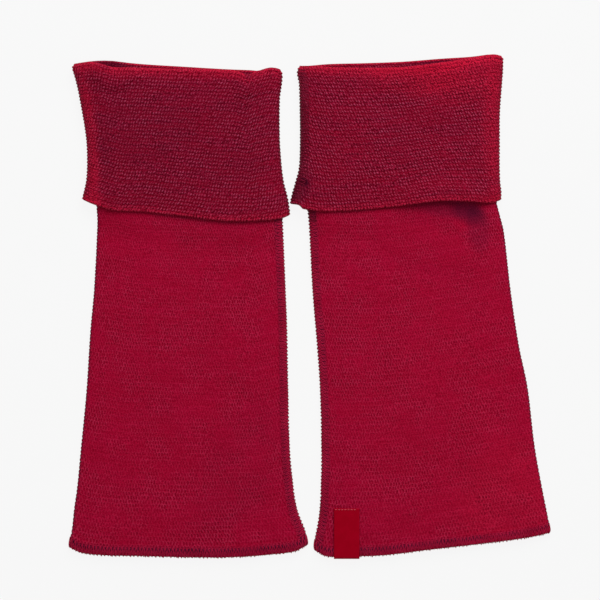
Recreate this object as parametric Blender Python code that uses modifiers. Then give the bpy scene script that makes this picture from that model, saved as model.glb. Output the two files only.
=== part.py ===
"""Pair of knitted leg warmers, laid flat side by side with their tops turned out into deep cuffs.

Each warmer is one tapered tube of knit cloth. It lies pressed flat, front on back, and its top
is turned outward and down over itself, so four layers lie on each other in the cuff. The wall is
lofted as one closed hook: up the inside of the leg, over the fold, down the outside of the cuff
and back along the other face of the cloth. Every size below is in millimetres. A warmer's own
origin is on the table under its hem: x runs across it and height runs from the hem to the cuff.
"""

import math
from bisect import bisect_right
from collections import namedtuple

import bmesh
import bpy

MM = 0.001

# The cloth's thickness, the air that pressing leaves between its layers, and how far a pressed
# edge stands out past a half round
WALL = 2.0
LAYER_GAP = 0.3
EDGE_BULGE = 2.0
CUT_EDGE_ROUND = 0.8

# The front layers stand a little off the ones below, but for a stretch along the edges and folds
TUBE_AIR = 1.4
CUFF_AIR = 0.9
EDGE_FADE = 22.0
FOLD_FADE = 20.0
SOFT_FOLD_RIM = 0.6

# Below the cuff the leg comes down to the table over this length
DROP_START = 2.5
DROP_LENGTH = 24.0

# Faces of the cloth, as distances from the middle plane of the pressed tube
LEG_INNER = LAYER_GAP / 2
LEG_OUTER = LEG_INNER + WALL
CUFF_INNER = LEG_OUTER + LAYER_GAP
CUFF_OUTER = CUFF_INNER + WALL
TURN_MIDDLE = LEG_OUTER + LAYER_GAP / 2
TURN_OUTER_RADIUS = WALL + LAYER_GAP / 2
TURN_INNER_RADIUS = LAYER_GAP / 2

# Overlocked edges are a little thicker than plain cloth, on the front that shows
EDGING_WIDTH = 6.5
EDGING_RISE = 0.5
EDGING_SLOPE = 2.0

# The label is a strip folded over the hem of the right warmer
LABEL_WIDTH = 19.6
LABEL_LENGTH = 38.0
LABEL_THICKNESS = 0.6
LABEL_GAP = 0.3
LABEL_MIDDLE_X = -65.6
LABEL_FOLD_HEIGHT = -0.7
LABEL_TOP_HEIGHT = LABEL_FOLD_HEIGHT + LABEL_LENGTH
LABEL_ROWS = 12
LABEL_COLUMNS = 4
LABEL_TURN_STEPS = 6
LABEL_TURN = 1.6

# How finely the cloth is divided: round a ring, and along the leg as shares of its length
FRONT_SPANS = 20
BACK_SPANS = 10
EDGE_SPANS = 6
LEG_HEIGHTS = (0.0, 0.016, 0.023, 0.05, 0.1, 0.16, 0.22, 0.28, 0.34, 0.4, 0.46, 0.52,
               0.58, 0.62, 0.65, 0.68, 0.71, 0.75, 0.8, 0.86, 0.92, 0.96, 1.0)
CUFF_SPANS = 11
TURN_STEPS = 6
OUTER_TURN = (1, 2, 3, 4, 5)
INNER_TURN = (4, 2)

# A section is one width of the flat tube, a line runs across it, and a fold is a soft ridge or
# hollow in its front: its middle, half length, half width, turn in degrees and height.
Section = namedtuple("Section", "height left right")
Line = namedtuple("Line", "across hem cuff_edge back_fold front_fold")
Fold = namedtuple("Fold", "x height along across turn rise layer")
Warmer = namedtuple("Warmer", "name seam_side place leg cuff lines folds")

# Widths of the leg from the hem up. The top rows are inside the cuff.
LEFT_LEG = (
    Section(height=9.0, left=-93.8, right=91.5),
    Section(height=22.0, left=-91.0, right=88.0),
    Section(height=37.0, left=-89.4, right=82.3),
    Section(height=54.0, left=-87.0, right=79.4),
    Section(height=83.0, left=-84.2, right=76.6),
    Section(height=129.0, left=-79.8, right=75.3),
    Section(height=175.0, left=-76.8, right=74.5),
    Section(height=206.0, left=-74.0, right=73.3),
    Section(height=252.0, left=-71.6, right=71.4),
    Section(height=264.0, left=-71.5, right=70.7),
    Section(height=300.0, left=-74.6, right=66.6),
    Section(height=345.0, left=-80.4, right=65.6),
    Section(height=376.0, left=-88.3, right=68.9),
)
LEFT_CUFF = (
    Section(height=264.0, left=-84.5, right=77.0),
    Section(height=277.0, left=-82.8, right=75.0),
    Section(height=290.0, left=-80.0, right=71.8),
    Section(height=304.0, left=-79.2, right=70.0),
    Section(height=323.0, left=-80.0, right=68.8),
    Section(height=353.0, left=-84.9, right=68.9),
    Section(height=366.0, left=-87.7, right=70.6),
    Section(height=376.0, left=-90.6, right=71.2),
)
# Heights of the lines that run across: the hem, the cuff's lower edge and the two top folds.
LEFT_LINES = (
    Line(across=0.0, hem=9.6, cuff_edge=276.6, back_fold=380.0, front_fold=379.0),
    Line(across=0.05, hem=5.0, cuff_edge=273.0, back_fold=381.4, front_fold=379.0),
    Line(across=0.15, hem=2.9, cuff_edge=268.0, back_fold=382.3, front_fold=377.2),
    Line(across=0.3, hem=2.3, cuff_edge=266.6, back_fold=380.1, front_fold=376.8),
    Line(across=0.5, hem=1.3, cuff_edge=263.2, back_fold=378.2, front_fold=375.9),
    Line(across=0.7, hem=1.5, cuff_edge=259.6, back_fold=376.7, front_fold=375.0),
    Line(across=0.85, hem=3.6, cuff_edge=260.0, back_fold=375.9, front_fold=372.6),
    Line(across=0.95, hem=6.2, cuff_edge=261.6, back_fold=377.4, front_fold=376.2),
    Line(across=1.0, hem=11.5, cuff_edge=264.6, back_fold=375.4, front_fold=374.4),
)
# "both" lifts the leg's front together with the cuff that lies on it.
LEFT_FOLDS = (
    Fold(x=-58.0, height=372.0, along=30.0, across=16.0, turn=0.0, rise=2.4, layer="both"),
    Fold(x=48.0, height=366.0, along=18.0, across=16.0, turn=0.0, rise=1.6, layer="both"),
    Fold(x=25.0, height=262.0, along=62.0, across=26.0, turn=-4.0, rise=1.6, layer="cuff"),
    Fold(x=-30.0, height=325.0, along=60.0, across=22.0, turn=24.0, rise=0.8, layer="cuff"),
    Fold(x=-20.0, height=190.0, along=90.0, across=34.0, turn=82.0, rise=0.9, layer="leg"),
    Fold(x=30.0, height=48.0, along=70.0, across=24.0, turn=30.0, rise=0.9, layer="leg"),
    Fold(x=30.0, height=120.0, along=60.0, across=24.0, turn=-50.0, rise=-0.7, layer="leg"),
)

RIGHT_LEG = (
    Section(height=9.0, left=-91.0, right=93.0),
    Section(height=20.0, left=-88.8, right=91.5),
    Section(height=34.0, left=-86.4, right=88.9),
    Section(height=54.0, left=-85.2, right=84.9),
    Section(height=86.0, left=-84.8, right=79.2),
    Section(height=131.0, left=-85.9, right=73.8),
    Section(height=164.0, left=-88.2, right=67.0),
    Section(height=206.0, left=-91.6, right=60.7),
    Section(height=251.0, left=-94.0, right=55.5),
    Section(height=264.0, left=-95.0, right=52.2),
    Section(height=274.0, left=-96.2, right=49.8),
    Section(height=305.0, left=-98.3, right=48.6),
    Section(height=345.0, left=-98.6, right=49.6),
    Section(height=378.0, left=-99.8, right=52.4),
)
RIGHT_CUFF = (
    Section(height=273.0, left=-109.2, right=53.0),
    Section(height=281.0, left=-107.3, right=53.5),
    Section(height=289.0, left=-105.0, right=52.6),
    Section(height=300.0, left=-102.2, right=52.2),
    Section(height=319.0, left=-101.3, right=52.2),
    Section(height=343.0, left=-101.5, right=52.4),
    Section(height=365.0, left=-102.2, right=54.0),
    Section(height=374.0, left=-103.6, right=54.7),
    Section(height=382.0, left=-100.6, right=54.9),
)
RIGHT_LINES = (
    Line(across=0.0, hem=7.6, cuff_edge=273.2, back_fold=378.6, front_fold=378.0),
    Line(across=0.05, hem=2.2, cuff_edge=271.0, back_fold=378.8, front_fold=378.4),
    Line(across=0.15, hem=2.0, cuff_edge=267.0, back_fold=379.7, front_fold=377.4),
    Line(across=0.3, hem=3.0, cuff_edge=267.9, back_fold=380.5, front_fold=376.7),
    Line(across=0.5, hem=7.4, cuff_edge=270.8, back_fold=381.9, front_fold=377.2),
    Line(across=0.7, hem=11.5, cuff_edge=274.9, back_fold=384.2, front_fold=380.9),
    Line(across=0.85, hem=15.0, cuff_edge=274.6, back_fold=385.6, front_fold=384.6),
    Line(across=0.95, hem=18.0, cuff_edge=273.8, back_fold=387.8, front_fold=387.2),
    Line(across=1.0, hem=20.6, cuff_edge=276.2, back_fold=386.0, front_fold=385.4),
)
RIGHT_FOLDS = (
    Fold(x=-20.0, height=374.0, along=66.0, across=16.0, turn=4.0, rise=1.6, layer="both"),
    Fold(x=40.0, height=372.0, along=34.0, across=20.0, turn=30.0, rise=1.8, layer="both"),
    Fold(x=10.0, height=272.0, along=48.0, across=24.0, turn=2.0, rise=3.6, layer="cuff"),
    Fold(x=-30.0, height=322.0, along=64.0, across=22.0, turn=-26.0, rise=0.8, layer="cuff"),
    Fold(x=27.0, height=262.0, along=19.0, across=12.0, turn=-24.0, rise=-1.2, layer="leg"),
    Fold(x=-4.0, height=238.0, along=52.0, across=20.0, turn=-18.0, rise=0.8, layer="leg"),
    Fold(x=-10.0, height=150.0, along=90.0, across=34.0, turn=98.0, rise=0.9, layer="leg"),
    Fold(x=46.0, height=70.0, along=60.0, across=26.0, turn=-60.0, rise=0.9, layer="leg"),
    Fold(x=-65.6, height=20.0, along=76.0, across=44.0, turn=90.0, rise=0.8, layer="leg"),
)

LEFT = Warmer("left_warmer", 1.0, (-91.9, -193.5), LEFT_LEG, LEFT_CUFF, LEFT_LINES, LEFT_FOLDS)
RIGHT = Warmer("right_warmer", 0.0, (94.2, -193.5), RIGHT_LEG, RIGHT_CUFF, RIGHT_LINES,
               RIGHT_FOLDS)


def clear_scene():
    for item in list(bpy.data.objects):
        bpy.data.objects.remove(item, do_unlink=True)


def mix(low, high, share):
    return low + (high - low) * share


def ease(share):
    """Smooth step from 0 to 1."""
    share = min(max(share, 0.0), 1.0)
    return share * share * (3.0 - 2.0 * share)


def curve(rows, key, column, at):
    """Read a column of a table at any place between its rows, on a smooth curve through them."""
    keys = [getattr(row, key) for row in rows]
    values = [getattr(row, column) for row in rows]
    last = len(rows) - 1
    low = min(max(bisect_right(keys, at) - 1, 0), last - 1)
    high = low + 1
    span = keys[high] - keys[low]
    share = min(max((at - keys[low]) / span, 0.0), 1.0)

    def slope(index):
        before = max(index - 1, 0)
        after = min(index + 1, last)
        return (values[after] - values[before]) / (keys[after] - keys[before])

    square = share * share
    cube = square * share
    return (values[low] * (2 * cube - 3 * square + 1)
            + slope(low) * span * (cube - 2 * square + share)
            + values[high] * (3 * square - 2 * cube)
            + slope(high) * span * (cube - square))


def fold_height(warmer, across, up):
    """Height of the top fold: the back rim shows above the front one, and they meet at the sides."""
    back = curve(warmer.lines, "across", "back_fold", across)
    front = curve(warmer.lines, "across", "front_fold", across)
    return mix(back, front, (1.0 + up) / 2)


def bump(fold, x, height):
    """Weight of a soft fold at a place: full in its middle, fading to nothing at its rim."""
    turn = math.radians(fold.turn)
    right = x - fold.x
    above = height - fold.height
    length = (right * math.cos(turn) + above * math.sin(turn)) / fold.along
    width = (above * math.cos(turn) - right * math.sin(turn)) / fold.across
    return ease((1.0 - math.hypot(length, width)) / SOFT_FOLD_RIM)


def front_rise(warmer, part, x, height):
    """How far a front layer stands above its flat place, from its soft folds alone."""
    rise = 0.0
    for fold in warmer.folds:
        if fold.layer in (part, "both"):
            rise += fold.rise * bump(fold, x, height)
    return rise


# A ring runs round the pressed tube: across the front, round one edge, across the back and home.
# across is the place between the two edges, out and up point round the folded edge.
Station = namedtuple("Station", "across out up")


def ring_stations():
    stations = [Station(step / FRONT_SPANS, 0.0, 1.0) for step in range(FRONT_SPANS + 1)]
    for step in range(1, EDGE_SPANS):
        angle = math.pi * (0.5 - step / EDGE_SPANS)
        stations.append(Station(1.0, math.cos(angle), math.sin(angle)))
    stations += [Station(1.0 - step / BACK_SPANS, 0.0, -1.0) for step in range(BACK_SPANS + 1)]
    for step in range(1, EDGE_SPANS):
        angle = math.pi * (step / EDGE_SPANS - 0.5)
        stations.append(Station(0.0, -math.cos(angle), math.sin(angle)))
    return stations


# A profile runs round the cut edge of the cloth. along goes from the hem to the fold on the leg,
# and from the fold to the lower edge on the cuff. depth is the distance from the tube's middle
# plane, and reach goes past the end of the part, towards the fold or the cut edge.
Ply = namedtuple("Ply", "part along depth reach")


def turn_plies(part, along, radius, steps):
    """Points of the fold, as a half round from the leg's side to the cuff's side."""
    plies = []
    for step in steps:
        angle = math.pi * step / TURN_STEPS
        depth = TURN_MIDDLE - radius * math.cos(angle)
        plies.append(Ply(part, along, depth, radius * math.sin(angle)))
    return plies


def cloth_profile():
    cuff_steps = [step / CUFF_SPANS for step in range(CUFF_SPANS + 1)]
    plies = [Ply("leg", along, LEG_INNER, 0.0) for along in LEG_HEIGHTS]
    plies += turn_plies("cuff", 0.0, TURN_OUTER_RADIUS, OUTER_TURN)
    plies += [Ply("cuff", along, CUFF_OUTER, 0.0) for along in cuff_steps]
    plies.append(Ply("cuff", 1.0, CUFF_INNER + WALL / 2, -CUT_EDGE_ROUND))
    plies += [Ply("cuff", along, CUFF_INNER, 0.0) for along in reversed(cuff_steps)]
    plies += turn_plies("cuff", 0.0, TURN_INNER_RADIUS, INNER_TURN)
    plies += [Ply("leg", along, LEG_OUTER, 0.0) for along in reversed(LEG_HEIGHTS)]
    plies.append(Ply("leg", 0.0, LEG_INNER + WALL / 2, -CUT_EDGE_ROUND))
    return plies


def edging_rise(warmer, across, above_hem, from_seam, under_cuff):
    """The overlocked hem and side seam are thicker than the plain cloth beside them."""
    hem = ease((EDGING_WIDTH + EDGING_SLOPE - above_hem) / EDGING_SLOPE)
    seam = ease((EDGING_WIDTH + EDGING_SLOPE - from_seam) / EDGING_SLOPE)
    return EDGING_RISE * max(hem, seam) * (1.0 - under_cuff)


def drop_share(warmer, across, height):
    """0 where the leg lies in the cuff, 1 where it has come down to the table below it."""
    below_cuff = curve(warmer.lines, "across", "cuff_edge", across) - height
    return ease((below_cuff - DROP_START) / DROP_LENGTH)


def front_lift(warmer, part, x, height, left, right):
    """How far a front layer stands above its flat place, at a place between its two edges."""
    from_edge = min(x - left, right - x)
    if part == "leg":
        from_edge += CUFF_OUTER - LEG_OUTER
    fade = ease(from_edge / EDGE_FADE)
    lift = TUBE_AIR + front_rise(warmer, part, x, height)
    if part == "cuff":
        top = fold_height(warmer, (x - left) / (right - left), 1.0)
        lift += CUFF_AIR * ease((top - height) / FOLD_FADE)
    return lift * fade


def cloth_point(warmer, ply, station):
    """Place of one point of the wall, in millimetres in the warmer's own frame."""
    on_leg = ply.part == "leg"
    sections = warmer.leg if on_leg else warmer.cuff
    outermost = LEG_OUTER if on_leg else CUFF_OUTER
    end_line = "hem" if on_leg else "cuff_edge"
    share = ply.along if on_leg else 1.0 - ply.along

    def height_at(across):
        end = curve(warmer.lines, "across", end_line, across)
        top = fold_height(warmer, across, station.up) - TURN_OUTER_RADIUS
        return mix(end, top, share)

    left = curve(sections, "height", "left", height_at(0.0))
    right = curve(sections, "height", "right", height_at(1.0))
    inset = outermost - ply.depth
    bulge = EDGE_BULGE + ply.depth
    x = mix(left + inset + bulge, right - inset - bulge, station.across) + bulge * station.out
    across = (x - left) / (right - left)
    height = height_at(across) + ply.reach

    drop = drop_share(warmer, across, height) if on_leg else 0.0
    z = mix(CUFF_OUTER, LEG_OUTER, drop) + ply.depth * station.up
    if station.up > 0.0:
        lift = front_lift(warmer, ply.part, x, height, left, right)
        if on_leg and ply.depth == LEG_OUTER:
            above_hem = height - curve(warmer.lines, "across", "hem", across)
            from_seam = abs(x - mix(left, right, warmer.seam_side))
            lift += edging_rise(warmer, across, above_hem, from_seam, 1.0 - drop)
        z += lift * station.up
    return x, height, z


def closed_loft(mesh_name, rings):
    """Join rings of equal length to each other, the last one back to the first."""
    shape = bmesh.new()
    loops = [[shape.verts.new(point) for point in ring] for ring in rings]
    for loop, following in zip(loops, loops[1:] + loops[:1]):
        for index in range(len(loop)):
            after = (index + 1) % len(loop)
            shape.faces.new((loop[index], loop[after], following[after], following[index]))
    bmesh.ops.recalc_face_normals(shape, faces=shape.faces)
    mesh = bpy.data.meshes.new(mesh_name)
    shape.to_mesh(mesh)
    shape.free()
    return mesh


def knit_material(name, colour, roughness):
    material = bpy.data.materials.new(name)
    material.use_nodes = True
    shader = material.node_tree.nodes["Principled BSDF"]
    shader.inputs["Base Color"].default_value = (*colour, 1.0)
    shader.inputs["Roughness"].default_value = roughness
    shader.inputs["Metallic"].default_value = 0.0
    return material


def add_object(name, mesh, place, material, collection):
    mesh.materials.append(material)
    mesh.shade_smooth()
    piece = bpy.data.objects.new(name, mesh)
    piece.location = (place[0] * MM, place[1] * MM, 0.0)
    collection.objects.link(piece)
    return piece


def make_warmer(warmer, material, collection):
    stations = ring_stations()
    rings = []
    for ply in cloth_profile():
        points = [cloth_point(warmer, ply, station) for station in stations]
        rings.append([(x * MM, height * MM, z * MM) for x, height, z in points])
    mesh = closed_loft(warmer.name, rings)
    return add_object(warmer.name, mesh, warmer.place, material, collection)


def leg_front_z(warmer, x, height, depth):
    """Height above the table of the leg's front, at one face of its cloth, below the cuff."""
    left = curve(warmer.leg, "height", "left", height)
    right = curve(warmer.leg, "height", "right", height)
    return LEG_OUTER + depth + front_lift(warmer, "leg", x, height, left, right)


def label_path():
    """The label's middle line: down the front, round the hem and up inside, as height and side.

    side is 1 on the outer leaf, -1 on the inner leaf, and between them round the hem.
    """
    low = LABEL_FOLD_HEIGHT + LABEL_THICKNESS / 2 + LABEL_TURN
    heights = [mix(LABEL_TOP_HEIGHT, low, row / LABEL_ROWS) for row in range(LABEL_ROWS + 1)]
    path = [(height, 1.0) for height in heights]
    for step in range(1, LABEL_TURN_STEPS):
        angle = math.pi * step / LABEL_TURN_STEPS
        path.append((low - LABEL_TURN * math.sin(angle), math.cos(angle)))
    path += [(height, -1.0) for height in reversed(heights)]
    return path


def label_point(warmer, across, height, side):
    x = LABEL_MIDDLE_X + (across - 0.5) * LABEL_WIDTH
    stand_off = LABEL_GAP + LABEL_THICKNESS / 2
    outer = leg_front_z(warmer, x, height, LEG_OUTER) + EDGING_RISE + stand_off
    inner = leg_front_z(warmer, x, height, LEG_INNER) - stand_off
    return x * MM, height * MM, mix(inner, outer, (1.0 + side) / 2) * MM


def make_label(warmer, material, collection):
    path = label_path()
    shape = bmesh.new()
    bmesh.ops.create_grid(shape, x_segments=LABEL_COLUMNS, y_segments=len(path) - 1, size=0.5)
    for vertex in shape.verts:
        across = vertex.co.x + 0.5
        row = round((0.5 - vertex.co.y) * (len(path) - 1))
        vertex.co = label_point(warmer, across, *path[row])
    mesh = bpy.data.meshes.new("label")
    shape.to_mesh(mesh)
    shape.free()
    label = add_object("label", mesh, warmer.place, material, collection)
    thickness = label.modifiers.new("thickness", "SOLIDIFY")
    thickness.thickness = LABEL_THICKNESS * MM
    thickness.offset = 0.0
    return label


def main():
    clear_scene()
    collection = bpy.data.collections.new("leg_warmers")
    bpy.context.scene.collection.children.link(collection)
    knit = knit_material("crimson_knit", (0.29, 0.006, 0.022), 0.9)
    tape = knit_material("crimson_tape", (0.26, 0.004, 0.012), 0.6)
    make_warmer(LEFT, knit, collection)
    make_warmer(RIGHT, knit, collection)
    make_label(RIGHT, tape, collection)


main()
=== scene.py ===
# %% [markdown]
# # A pair of knitted leg warmers, seen from above
#
# Each warmer is one tube of crimson wool knit, pressed flat, with its top turned outward into a
# deep cuff. The hem and the side seam are overlocked, and a plain label is folded over one hem.
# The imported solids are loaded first, because every piece lies on their form and in their place.
# Lengths are in millimetres, as a knitter measures, until a mesh gets its points.

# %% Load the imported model
import math
from collections import namedtuple

import bmesh
import bpy
import numpy as np
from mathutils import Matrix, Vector


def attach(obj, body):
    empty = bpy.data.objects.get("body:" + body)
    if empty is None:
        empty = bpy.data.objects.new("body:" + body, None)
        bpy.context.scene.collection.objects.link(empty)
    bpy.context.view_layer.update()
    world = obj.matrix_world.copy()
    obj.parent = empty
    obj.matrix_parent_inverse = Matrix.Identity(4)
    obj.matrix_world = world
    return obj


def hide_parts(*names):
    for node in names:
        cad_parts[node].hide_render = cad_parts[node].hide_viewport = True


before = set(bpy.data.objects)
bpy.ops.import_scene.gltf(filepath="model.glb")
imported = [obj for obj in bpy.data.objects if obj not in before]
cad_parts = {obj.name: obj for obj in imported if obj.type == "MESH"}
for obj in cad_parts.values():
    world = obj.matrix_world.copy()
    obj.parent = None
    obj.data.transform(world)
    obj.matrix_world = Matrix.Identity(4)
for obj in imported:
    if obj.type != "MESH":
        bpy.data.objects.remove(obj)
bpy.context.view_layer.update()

MM = 0.001

# %% [markdown]
# ## The sizes of the cloth
#
# A pressed tube is known by a few measures. Sections give its width at a height above the hem.
# Lines run across it: the hem, the lower edge of the cuff and the two rims of the top fold. Soft
# folds are low ridges and hollows in its front. The solids were made from these measures too, with
# plainer lines at the top folds and the cuff's edge.

# %% Measures of both warmers
Section = namedtuple("Section", "height left right")
Line = namedtuple("Line", "across height")
Fold = namedtuple("Fold", "x height along across turn rise layer")
Warmer = namedtuple("Warmer", "name seam_side place leg cuff hem cuff_edge back_fold front_fold "
                              "folds naps cuff_slant")


def table(kind, *rows):
    """Give the columns of every row their names."""
    return tuple(kind(*row) for row in rows)


# Sections: height, left edge and right edge, from the hem up. A leg's top rows are in its cuff.
# Lines: share of the way across, and height there.
# Folds: x and height of the middle, half length, half width, turn in degrees, rise and layer.
# "both" lifts the leg's front together with the cuff that lies on it. Naps and shades are soft
# areas painted paler or darker, in the same terms: a few are the yarn's own uneven tone, most are
# painted shade and painted highlight, such as the shadow under the right cuff, the dark mouths and
# the light rims and edges. seam_side is 0 at the left edge, 1 at the right.
LEFT = Warmer(
    name="left_warmer", seam_side=1.0, place=(-91.9, -193.5), cuff_slant=-0.45,
    leg=table(Section, (9, -93.8, 91.5), (22, -91, 88), (37, -89.4, 82.3), (54, -87, 79.4),
        (83, -84.2, 76.6), (129, -79.8, 75.3), (175, -76.8, 74.5), (206, -74, 73.3),
        (252, -71.6, 71.4), (264, -71.5, 70.7), (300, -74.6, 66.6), (345, -80.4, 65.6),
        (376, -88.3, 68.9)),
    cuff=table(Section, (264, -84.5, 77), (277, -82.8, 75), (290, -80, 71.8), (304, -79.2, 70),
        (323, -80, 68.8), (353, -84.9, 68.9), (366, -87.7, 70.6), (376, -90.6, 71.2)),
    hem=table(Line, (0, 9.6), (0.05, 5), (0.15, 2.9), (0.3, 2.3), (0.5, 1.3), (0.7, 1.5),
        (0.85, 3.6), (0.95, 6.2), (1, 11.5)),
    cuff_edge=table(Line, (0, 276.6), (0.05, 273), (0.15, 268), (0.3, 266.6), (0.5, 263.2),
        (0.7, 259.6), (0.85, 260), (0.95, 261.6), (1, 264.6)),
    back_fold=table(Line, (0, 380.1), (0.05, 381.8), (0.12, 382.9), (0.19, 382.6), (0.27, 381.1),
        (0.37, 379.8), (0.5, 378.6), (0.7, 376.7), (0.83, 375.7), (0.895, 375.3), (0.925, 376.9),
        (0.95, 377.5), (0.98, 376.7), (1, 375)),
    front_fold=table(Line, (0, 379), (0.05, 380.6), (0.1, 381), (0.15, 379.2), (0.2, 377.1),
        (0.3, 376.8), (0.5, 376), (0.7, 375.2), (0.76, 374.6), (0.8, 373.4), (0.82, 372),
        (0.836, 371.2), (0.852, 372), (0.87, 373.9), (0.895, 374.9), (0.925, 376.5), (0.95, 377.1),
        (0.98, 376.2), (1, 374.4)),
    folds=table(Fold, (-58, 372, 30, 16, 0, 2.4, "both"), (48, 366, 18, 16, 0, 1.6, "both"),
        (25, 262, 62, 26, -4, 0.8, "cuff"), (-30, 325, 60, 22, 24, 0.8, "cuff"),
        (-20, 190, 90, 34, 82, 0.9, "leg"), (30, 48, 70, 24, 30, 0.9, "leg"),
        (30, 120, 60, 24, -50, -0.7, "leg")),
    naps=table(Fold, (-77.5, 322, 62, 10, -84, 0.45, "cuff"), (-4, 322, 110, 70, 0, -0.12, "cuff"),
        (-79, 315, 70, 9, 96, 0.2, "cuff"), (-76, 276, 15, 8, 0, 0.25, "cuff"),
        (-36, 332, 60, 34, 8, -0.08, "cuff"), (-66, 310, 20, 5, -62, -0.14, "cuff"),
        (44.6, 372, 5.5, 4, 90, -0.7, "cuff"), (-63, 381, 16, 8, -6, -0.9, "back rim"),
        (-66, 378.6, 10, 4, -20, -0.5, "cuff"), (40, 70, 80, 40, 60, -0.08, "leg")))
RIGHT = Warmer(
    name="right_warmer", seam_side=0.0, place=(94.2, -193.5), cuff_slant=0.47,
    leg=table(Section, (9, -91, 93), (20, -88.8, 91.5), (34, -86.4, 88.9), (54, -85.2, 84.9),
        (86, -84.8, 79.2), (131, -85.9, 73.8), (164, -88.2, 67), (206, -91.6, 60.7),
        (251, -94, 55.5), (264, -95, 52.2), (274, -96.2, 49.8), (305, -98.3, 48.6),
        (345, -98.6, 49.6), (378, -99.8, 52.4)),
    cuff=table(Section, (273, -109.2, 53), (281, -107.3, 53.5), (289, -105, 52.6),
        (300, -102.2, 52.2), (319, -101.3, 52.2), (343, -101.5, 52.4), (365, -102.2, 54),
        (374, -103.6, 54.7), (382, -100.6, 54.9)),
    hem=table(Line, (0, 7.6), (0.05, 2.2), (0.15, 2), (0.3, 3), (0.5, 7.4), (0.7, 11.5), (0.85, 15),
        (0.95, 18), (1, 20.6)),
    cuff_edge=table(Line, (0, 273.2), (0.02, 272.9), (0.04, 272.4), (0.05, 270.9), (0.06, 269.2),
        (0.085, 268.6), (0.15, 267.2), (0.3, 267.9), (0.5, 270.8), (0.7, 274.9), (0.85, 274.6),
        (0.95, 273.8), (1, 276.2)),
    back_fold=table(Line, (0, 378.7), (0.05, 379.1), (0.15, 380.3), (0.3, 380.8), (0.5, 381.9),
        (0.7, 384.4), (0.85, 386.1), (0.95, 388), (1, 386.1)),
    front_fold=table(Line, (0, 378), (0.05, 378.4), (0.15, 377.4), (0.3, 376.7), (0.5, 377.2),
        (0.7, 380.9), (0.85, 384.6), (0.95, 387.2), (1, 385.4)),
    folds=table(Fold, (-20, 374, 66, 16, 4, 1.6, "both"), (40, 372, 34, 20, 30, 1.8, "both"),
        (12, 272, 48, 24, 2, 3, "cuff"), (-30, 322, 64, 22, -26, 0.8, "cuff"),
        (27, 262, 19, 12, -24, -1.2, "leg"), (-4, 238, 52, 20, -18, 0.8, "leg"),
        (-10, 150, 90, 34, 98, 0.9, "leg"), (46, 70, 60, 26, -60, 0.9, "leg"),
        (-65.6, 20, 76, 44, 90, 0.8, "leg")),
    naps=table(Fold, (36, 374, 70, 30, 14, 0.4, "cuff"), (46, 330, 60, 11, 90, 0.3, "cuff"),
        (-20, 340, 60, 26, -12, -0.1, "cuff"), (0, 320, 130, 80, 0, 0.045, "cuff"),
        (-12, 369, 56, 17, 3, 0.32, "cuff"), (53, 325, 80, 12, 90, 0.22, "cuff"),
        (52, 279, 16, 11, 0, 0.22, "cuff"), (74, 40, 75, 70, 0, 0.26, "leg"),
        (-101, 284, 22, 10, 70, -0.45, "cuff"), (-99, 289, 5, 4, 0, -0.9, "cuff"),
        (12, 269, 34, 10, -6, -0.35, "leg"), (28, 266.5, 20, 12, -30, -0.34, "leg"),
        (35.5, 254, 25, 12, -82, -0.3, "leg"), (10, 100, 150, 90, 90, 0.07, "leg")))
print("leg sections", len(LEFT.leg), "and", len(RIGHT.leg))

# %% [markdown]
# ## The form of the pressed tube
#
# A tube of cloth that lies flat has two layers, joined by a folded edge on each side. In the cuff
# there are four. The front layers stand a little off the ones below, apart from a stretch along
# the edges and folds, and below the cuff the leg comes down to the table. Every formula works on
# whole arrays, because a knit needs tens of thousands of points.

# %% Smooth curves through the tables
def mix(low, high, share):
    return low + (high - low) * share


def ease(share):
    """Smooth step from 0 to 1."""
    share = np.clip(share, 0.0, 1.0)
    return share * share * (3.0 - 2.0 * share)


def curve(rows, key, column, at):
    """Read a column of a table at any place between its rows, on a smooth curve through them."""
    keys = np.array([getattr(row, key) for row in rows])
    values = np.array([getattr(row, column) for row in rows])
    index = np.arange(len(rows))
    before = np.maximum(index - 1, 0)
    after = np.minimum(index + 1, len(rows) - 1)
    slope = (values[after] - values[before]) / (keys[after] - keys[before])
    low = np.clip(np.searchsorted(keys, at, side="right") - 1, 0, len(rows) - 2)
    high = low + 1
    span = keys[high] - keys[low]
    share = np.clip((at - keys[low]) / span, 0.0, 1.0)
    square, cube = share * share, share * share * share
    return (values[low] * (2 * cube - 3 * square + 1)
            + slope[low] * span * (cube - 2 * square + share)
            + values[high] * (3 * square - 2 * cube)
            + slope[high] * span * (cube - square))


def line_at(rows, across):
    return curve(rows, "across", "height", across)


def edge_at(warmer, side, height, on_leg):
    """Where the left or right edge of the pressed tube is at a height."""
    return np.where(on_leg, curve(warmer.leg, "height", side, height),
                    curve(warmer.cuff, "height", side, height))


print("hem of the left leg in its middle", round(float(line_at(LEFT.hem, 0.5)), 1))

# %% Layers of the cloth and how far the front ones stand up
WALL, LAYER_GAP = 2.0, 0.3
EDGE_BULGE, CUT_EDGE_ROUND = 2.0, 0.8
TUBE_AIR, CUFF_AIR = 1.4, 0.9
EDGE_FADE, FOLD_FADE, SOFT_FOLD_RIM = 22.0, 20.0, 0.6
EDGE_SETTLE = 30.0         # the cuff settles on the leg towards its cut edge
DROP_START, DROP_LENGTH = 2.5, 24.0

# Faces of the cloth, as distances from the middle plane of the pressed tube
LEG_INNER = LAYER_GAP / 2
LEG_OUTER = LEG_INNER + WALL
CUFF_INNER = LEG_OUTER + LAYER_GAP
CUFF_OUTER = CUFF_INNER + WALL
TURN_MIDDLE = LEG_OUTER + LAYER_GAP / 2
TURN_OUTER_RADIUS = WALL + LAYER_GAP / 2
TURN_INNER_RADIUS = LAYER_GAP / 2

# Wales, the upright rows of stitches, across a front and round one pressed edge
FRONT_WALES = 72
EDGE_WALES = 5
WALES_ROUND = 2 * (FRONT_WALES + EDGE_WALES)
PATCH_ROWS = 64


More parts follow.
